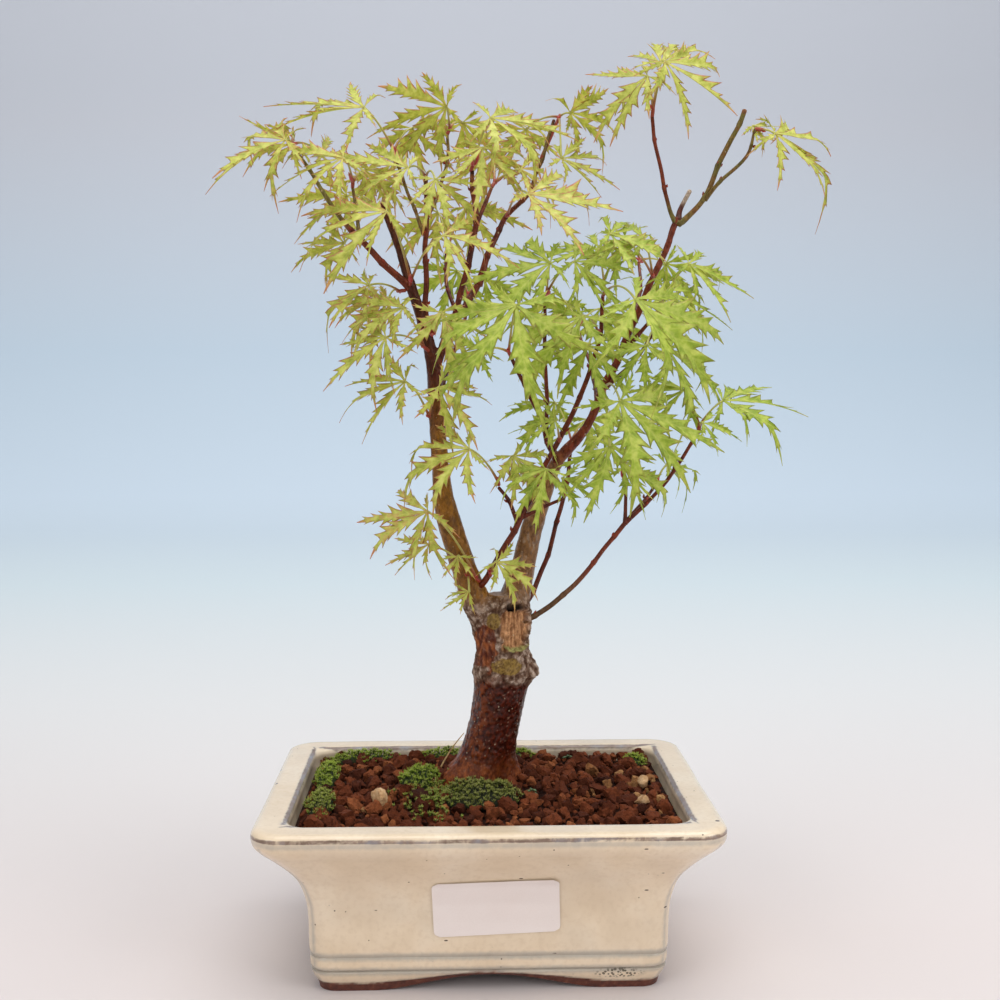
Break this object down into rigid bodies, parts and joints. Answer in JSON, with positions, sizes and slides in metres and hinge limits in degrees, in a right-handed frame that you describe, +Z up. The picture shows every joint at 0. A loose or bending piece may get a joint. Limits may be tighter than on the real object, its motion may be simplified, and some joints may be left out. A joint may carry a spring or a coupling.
{
  "type": "potted bonsai maple tree",
  "caption": "Small cut-leaf maple bonsai with two main stems, standing in granular soil with moss in a rectangular glazed pot on four corner feet.",
  "frame": {"origin": "middle of the whole object's box, on the surface that it stands on", "axes": "+Z up, X along the pot's long front, which faces -Y; +X to the right seen from the front"},
  "size_m": [0.2352, 0.1348, 0.3555],
  "materials": {
    "cream_glaze": "glossy cream glaze with brown and blue-grey breaks at the edges, unglazed red-brown foot",
    "label_paper": "blank satin label",
    "drain_plastic": "matte black netting",
    "soil_grains": "rough red-brown baked clay and lava grains",
    "moss": "soft olive and yellow-green moss",
    "tan_stone": "rough tan stone",
    "seedling_green": "soft blue-green leaf",
    "dry_stalk": "dry straw",
    "maple_bark": "grey-brown flaking bark low down, smooth olive and red-brown bark above, bare tan wood at an old cut",
    "leaf_yellow": "thin yellow-green leaf with pink and orange-brown margins",
    "leaf_green": "thin fresh green leaf"
  },
  "bodies": {
    "root": {"drain_mesh_left": "drain_plastic", "drain_mesh_right": "drain_plastic", "dry_stalk": "dry_stalk", "label": "label_paper", "moss_back_left": "moss", "moss_behind_trunk": "moss", "moss_behind_trunk_right": "moss", "moss_front_left": "moss", "moss_front_of_trunk": "moss", "moss_left": "moss", "moss_left_of_trunk": "moss", "moss_right_corner": "moss", "pot": "cream_glaze", "seedling_back": "seedling_green", "seedling_front": "seedling_green", "shoot_back_left": "leaf_green", "shoot_back_low": "leaf_green", "shoot_back_mid": "leaf_green", "shoot_back_right": "leaf_green", "shoot_fork_small": "leaf_yellow", "shoot_leader_front": "leaf_green", "shoot_leader_green": "leaf_green", "shoot_leader_side": "leaf_green", "shoot_left_back": "leaf_yellow", "shoot_left_bud": "leaf_yellow", "shoot_left_front": "leaf_yellow", "shoot_left_green": "leaf_yellow", "shoot_left_inner": "leaf_yellow", "shoot_left_low": "leaf_yellow", "shoot_left_low_small": "leaf_yellow", "shoot_left_mid": "leaf_yellow", "shoot_left_node": "leaf_yellow", "shoot_left_side": "leaf_yellow", "shoot_left_side_low": "leaf_yellow", "shoot_left_tip": "leaf_yellow", "shoot_mid_front": "leaf_green", "shoot_mid_high": "leaf_green", "shoot_mid_low": "leaf_green", "shoot_mid_right": "leaf_green", "shoot_mid_top": "leaf_green", "shoot_right_end": "leaf_yellow", "shoot_right_mid": "leaf_green", "shoot_right_tip": "leaf_green", "shoot_right_twig": "leaf_green", "shoot_right_up": "leaf_green", "shoot_top_back": "leaf_yellow", "shoot_top_cluster": "leaf_yellow", "shoot_top_front": "leaf_yellow", "shoot_top_green": "leaf_yellow", "shoot_top_mid": "leaf_yellow", "shoot_top_red": "leaf_yellow", "shoot_top_right": "leaf_yellow", "shoot_top_stub": "leaf_yellow", "shoot_twig_bud": "leaf_green", "shoot_twig_pair": "leaf_yellow", "soil": "soil_grains", "tan_stone_left": "tan_stone", "tan_stone_right": "tan_stone", "tan_stone_right_front": "tan_stone", "tree_wood": "maple_bark"}
  },
  "joints": []
}
